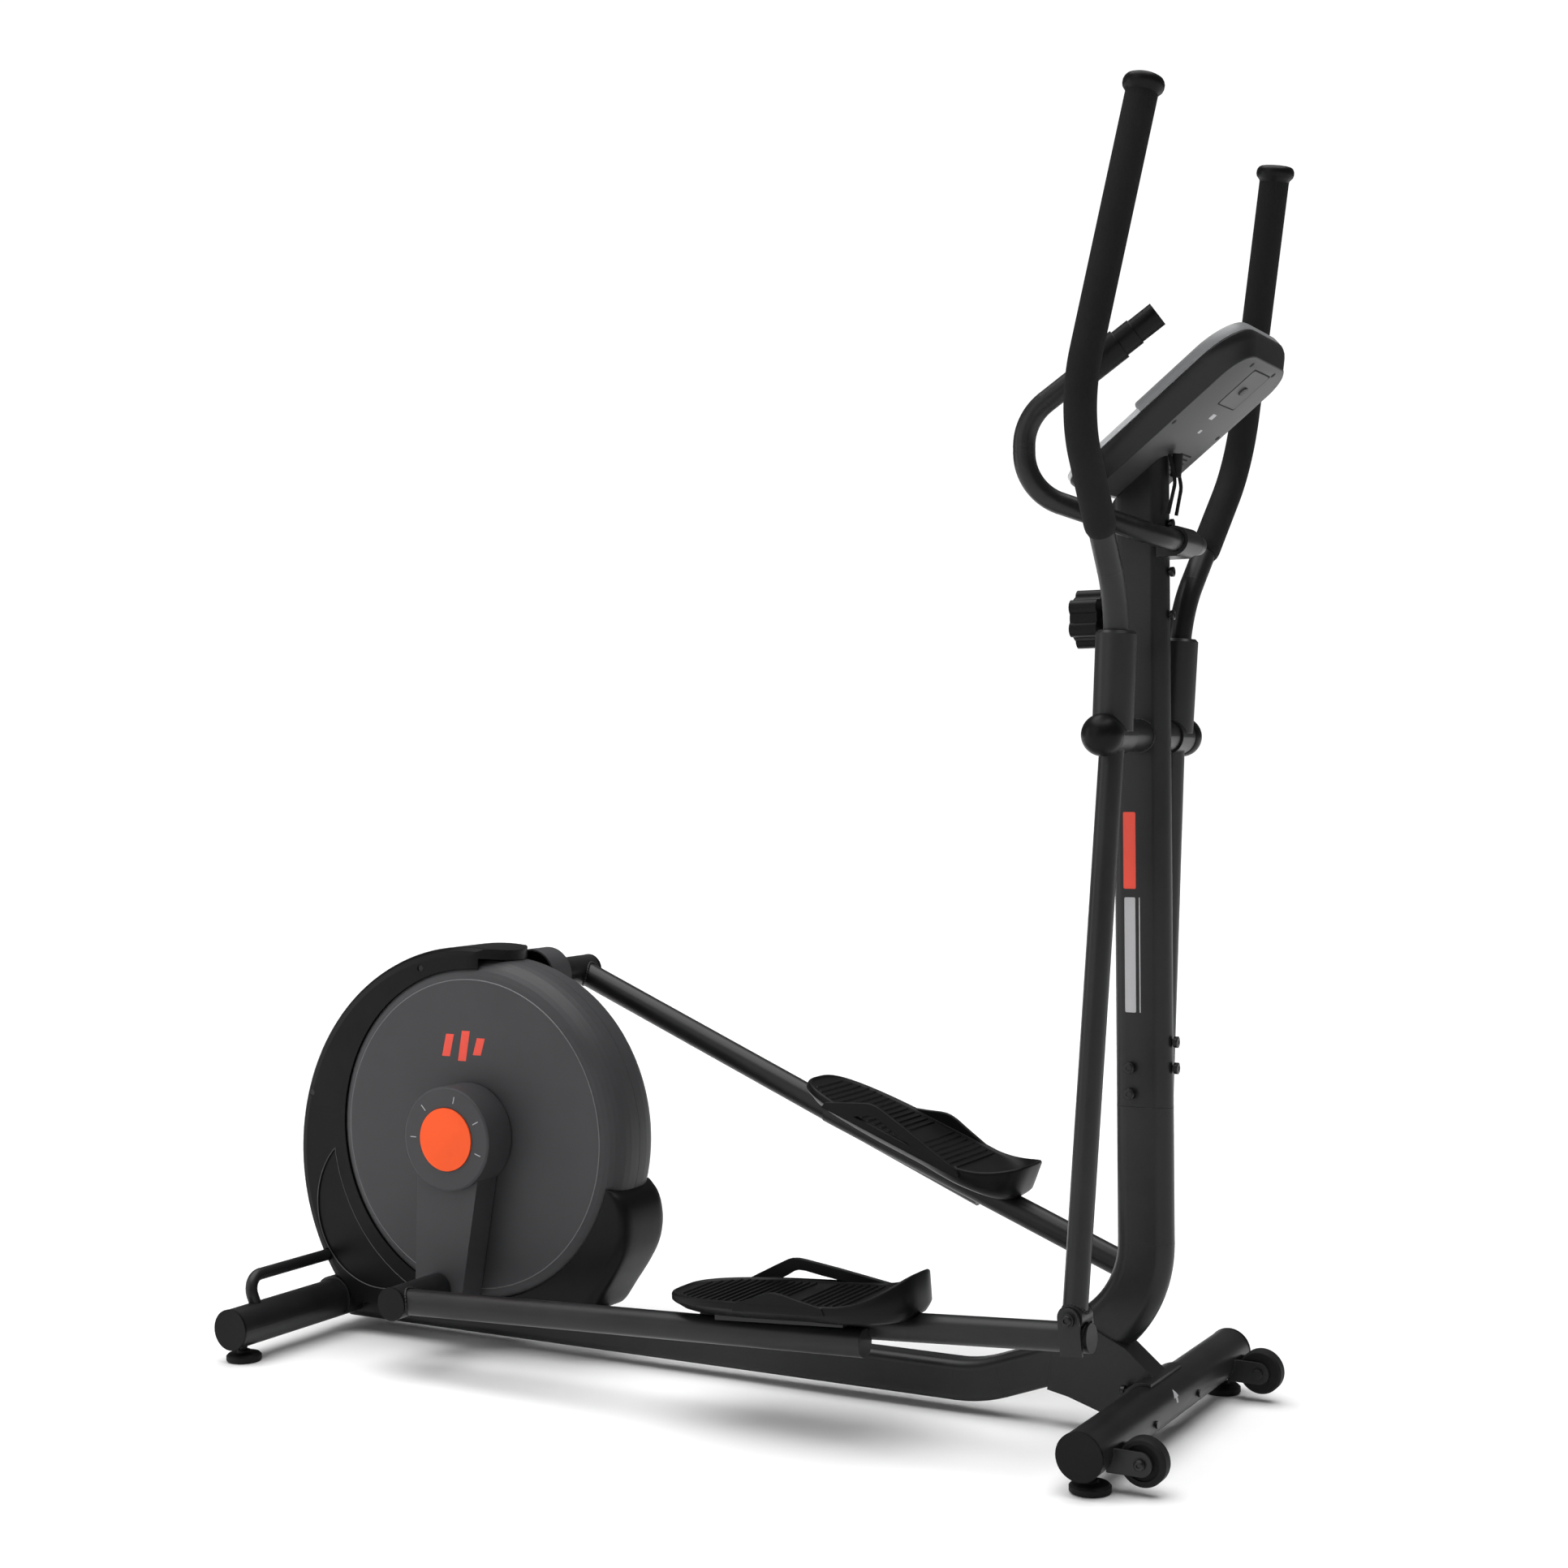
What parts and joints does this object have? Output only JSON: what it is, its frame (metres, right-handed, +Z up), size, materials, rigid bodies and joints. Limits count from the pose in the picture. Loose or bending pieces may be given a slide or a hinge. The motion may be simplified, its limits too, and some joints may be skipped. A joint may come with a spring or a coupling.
{
  "type": "elliptical trainer",
  "caption": "Rear-drive elliptical trainer: round drum housing with cranks, pedal bars with footplates, swing arms on a mast, fixed handlebar and tilted console",
  "frame": {"origin": "floor level, middle of the footprint box", "axes": "+X towards the console end, +Y to the user's left, +Z up"},
  "size_m": [1.58, 0.6184, 1.7033],
  "materials": {
    "frame_paint": "satin black powder coat",
    "black_plastic": "fine grain moulded",
    "rubber_foot": "matte rubber",
    "foam": "matte foam skin",
    "grey_plastic": "satin dark grey",
    "console_panel": "satin silver grey",
    "screen": "smoked clear",
    "key_grey": "satin",
    "stop_red": "gloss red",
    "hub_orange": "satin orange",
    "steel": "zinc plated",
    "cast": "machined"
  },
  "bodies": {
    "frame": {"front_stabilizer": "frame_paint", "rear_stabilizer": "frame_paint", "stabilizer_caps": "black_plastic", "rear_handle": "frame_paint", "wheel_bolts": "steel", "main_rail": "frame_paint", "mast_lower": "frame_paint", "mast_upper": "frame_paint", "frame_bolts": "steel", "arm_axle": "steel", "bearings": "steel", "fixed_handlebar": "frame_paint", "pulse_grips": "grey_plastic", "handlebar_clamp": "frame_paint", "console_back": "grey_plastic", "console_face": "console_panel", "console_screen": "screen", "console_cables": "rubber_foot", "housing_right": "grey_plastic", "housing_left": "grey_plastic", "shroud_rear": "black_plastic", "shroud_front": "black_plastic", "drive_frame": "frame_paint", "belt": "rubber_foot"},
    "crank": {"crankset": "steel", "crank_covers": "grey_plastic", "hub_caps": "hub_orange", "drive_pulley": "grey_plastic"},
    "flywheel": {"flywheel": "cast"},
    "idler": {"idler": "black_plastic"},
    "brake": {"brake": "steel"},
    "knob": {"tension_knob": "black_plastic"},
    "wheel_right": {"wheel_right": "rubber_foot"},
    "wheel_left": {"wheel_left": "rubber_foot"},
    "foot_front_right": {"foot_front_right": "rubber_foot"},
    "foot_front_left": {"foot_front_left": "rubber_foot"},
    "foot_rear_right": {"foot_rear_right": "rubber_foot"},
    "foot_rear_left": {"foot_rear_left": "rubber_foot"},
    "key_right": {"key_right": "key_grey"},
    "key_left": {"key_left": "key_grey"},
    "stop_button": {"stop_button": "stop_red"},
    "battery_cover": {"battery_cover": "grey_plastic"},
    "swing_right": {"arm_right": "frame_paint", "pivot_cap_right": "black_plastic", "handle_right": "frame_paint", "grip_right": "foam"},
    "swing_left": {"arm_left": "frame_paint", "pivot_cap_left": "black_plastic", "handle_left": "frame_paint", "grip_left": "foam"},
    "bar_right": {"bar_right": "frame_paint", "bar_caps_right": "black_plastic", "clevis_right": "frame_paint", "pedal_bracket_right": "frame_paint", "pedal_right": "black_plastic"},
    "bar_left": {"bar_left": "frame_paint", "bar_caps_left": "black_plastic", "clevis_left": "frame_paint", "pedal_bracket_left": "frame_paint", "pedal_left": "black_plastic"}
  },
  "joints": [
    {"name": "crank_turn", "type": "hinge", "parent": "frame", "child": "crank", "pos_m": [-0.449, 0, 0.33], "axis": [0, 1, 0], "continuous": true},
    {"name": "flywheel_spin", "type": "hinge", "parent": "frame", "child": "flywheel", "pos_m": [-0.642, 0, 0.235], "axis": [0, 1, 0], "continuous": true},
    {"name": "idler_spin", "type": "hinge", "parent": "frame", "child": "idler", "pos_m": [-0.56772, 0.048, 0.18063], "axis": [0, 1, 0], "continuous": true},
    {"name": "knob_turn", "type": "hinge", "parent": "frame", "child": "knob", "pos_m": [0.533, 0, 1.071], "axis": [1, 0, 0], "range_deg": [0, 270]},
    {"name": "brake_swing", "type": "hinge", "parent": "frame", "child": "brake", "pos_m": [-0.5299, -0.015, 0.1754], "axis": [0, 1, 0], "range_deg": [-2.1, 0.01]},
    {"name": "right_arm_swing", "type": "hinge", "parent": "frame", "child": "swing_right", "pos_m": [0.604, 0, 0.916], "axis": [0, 1, 0], "range_deg": [-15.5, 15.5]},
    {"name": "left_arm_swing", "type": "hinge", "parent": "frame", "child": "swing_left", "pos_m": [0.604, 0, 0.916], "axis": [0, 1, 0], "range_deg": [-15.6, 15.6]},
    {"name": "right_bar_tilt", "type": "hinge", "parent": "swing_right", "child": "bar_right", "pos_m": [0.56958, -0.168, 0.18982], "axis": [0, 1, 0], "range_deg": [-15.6, 15.6]},
    {"name": "left_bar_tilt", "type": "hinge", "parent": "swing_left", "child": "bar_left", "pos_m": [0.55468, 0.168, 0.19067], "axis": [0, 1, 0], "range_deg": [-15.6, 15.6]},
    {"name": "wheel_right_roll", "type": "hinge", "parent": "frame", "child": "wheel_right", "pos_m": [0.683, -0.23, 0.041], "axis": [0, 1, 0], "continuous": true},
    {"name": "wheel_left_roll", "type": "hinge", "parent": "frame", "child": "wheel_left", "pos_m": [0.683, 0.23, 0.041], "axis": [0, 1, 0], "continuous": true},
    {"name": "foot_front_right_turn", "type": "hinge", "parent": "frame", "child": "foot_front_right", "pos_m": [0.62, -0.248, 0.006], "axis": [0, 0, 1], "continuous": true},
    {"name": "foot_front_left_turn", "type": "hinge", "parent": "frame", "child": "foot_front_left", "pos_m": [0.62, 0.248, 0.006], "axis": [0, 0, 1], "continuous": true},
    {"name": "foot_rear_right_turn", "type": "hinge", "parent": "frame", "child": "foot_rear_right", "pos_m": [-0.725, -0.258, 0.006], "axis": [0, 0, 1], "continuous": true},
    {"name": "foot_rear_left_turn", "type": "hinge", "parent": "frame", "child": "foot_rear_left", "pos_m": [-0.725, 0.258, 0.006], "axis": [0, 0, 1], "continuous": true},
    {"name": "key_right_press", "type": "slide", "parent": "frame", "child": "key_right", "axis": [0.6157, 0, -0.788], "range_m": [0, 0.001], "stiffness_N_per_m": 600},
    {"name": "key_left_press", "type": "slide", "parent": "frame", "child": "key_left", "axis": [0.6157, 0, -0.788], "range_m": [0, 0.001], "stiffness_N_per_m": 600},
    {"name": "stop_button_press", "type": "slide", "parent": "frame", "child": "stop_button", "axis": [0.6157, 0, -0.788], "range_m": [0, 0.001], "stiffness_N_per_m": 600},
    {"name": "battery_cover_off", "type": "slide", "parent": "frame", "child": "battery_cover", "axis": [0.6157, 0, -0.788], "range_m": [0, 0.02]}
  ],
  "couplings": [
    {"joint": "flywheel_spin", "follows": "crank_turn", "ratio": 5.8182},
    {"joint": "idler_spin", "follows": "crank_turn", "ratio": -5.3333},
    {"joint": "brake_swing", "follows": "knob_turn", "ratio": -0.007407},
    {"joint": "left_arm_swing", "follows": "right_arm_swing", "ratio": -1},
    {"joint": "right_bar_tilt", "follows": "right_arm_swing", "ratio": -1},
    {"joint": "left_bar_tilt", "follows": "right_arm_swing", "ratio": 1}
  ]
}
